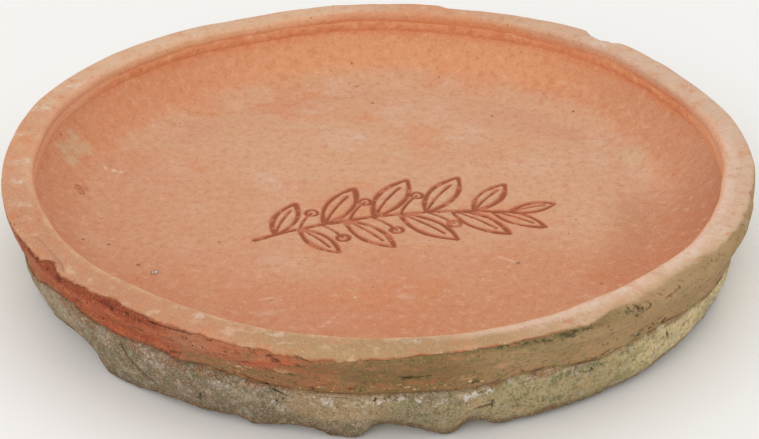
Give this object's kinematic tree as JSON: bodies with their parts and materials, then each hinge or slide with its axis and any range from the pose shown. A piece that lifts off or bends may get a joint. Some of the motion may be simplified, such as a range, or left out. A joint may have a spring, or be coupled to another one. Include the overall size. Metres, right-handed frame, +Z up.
{
  "type": "plant pot saucer",
  "caption": "Round saucer of aged fired clay that stands under a garden pot and holds the water that drains from it.",
  "frame": {"origin": "centre of the circle that the saucer rests on, on the ground plane", "axes": "+Z up out of the dish; the ragged front edge, as pictured, faces -Y, with +X to the right"},
  "size_m": [0.281, 0.281, 0.039],
  "materials": {
    "pale_clay": "unglazed fired clay, dull, with faint pale bloom",
    "rim_clay": "unglazed fired clay, dull, pale and worn",
    "red_clay": "unglazed fired clay, dull, pitted, partly green with algae",
    "crusted_clay": "coarse fired clay, dull, under grey-green lime and moss"
  },
  "bodies": {
    "root": {"floor_slab": "pale_clay", "corner_coil": "pale_clay", "rim_coil": "rim_clay", "wall_strip": "red_clay", "foot_band": "crusted_clay"}
  },
  "joints": []
}
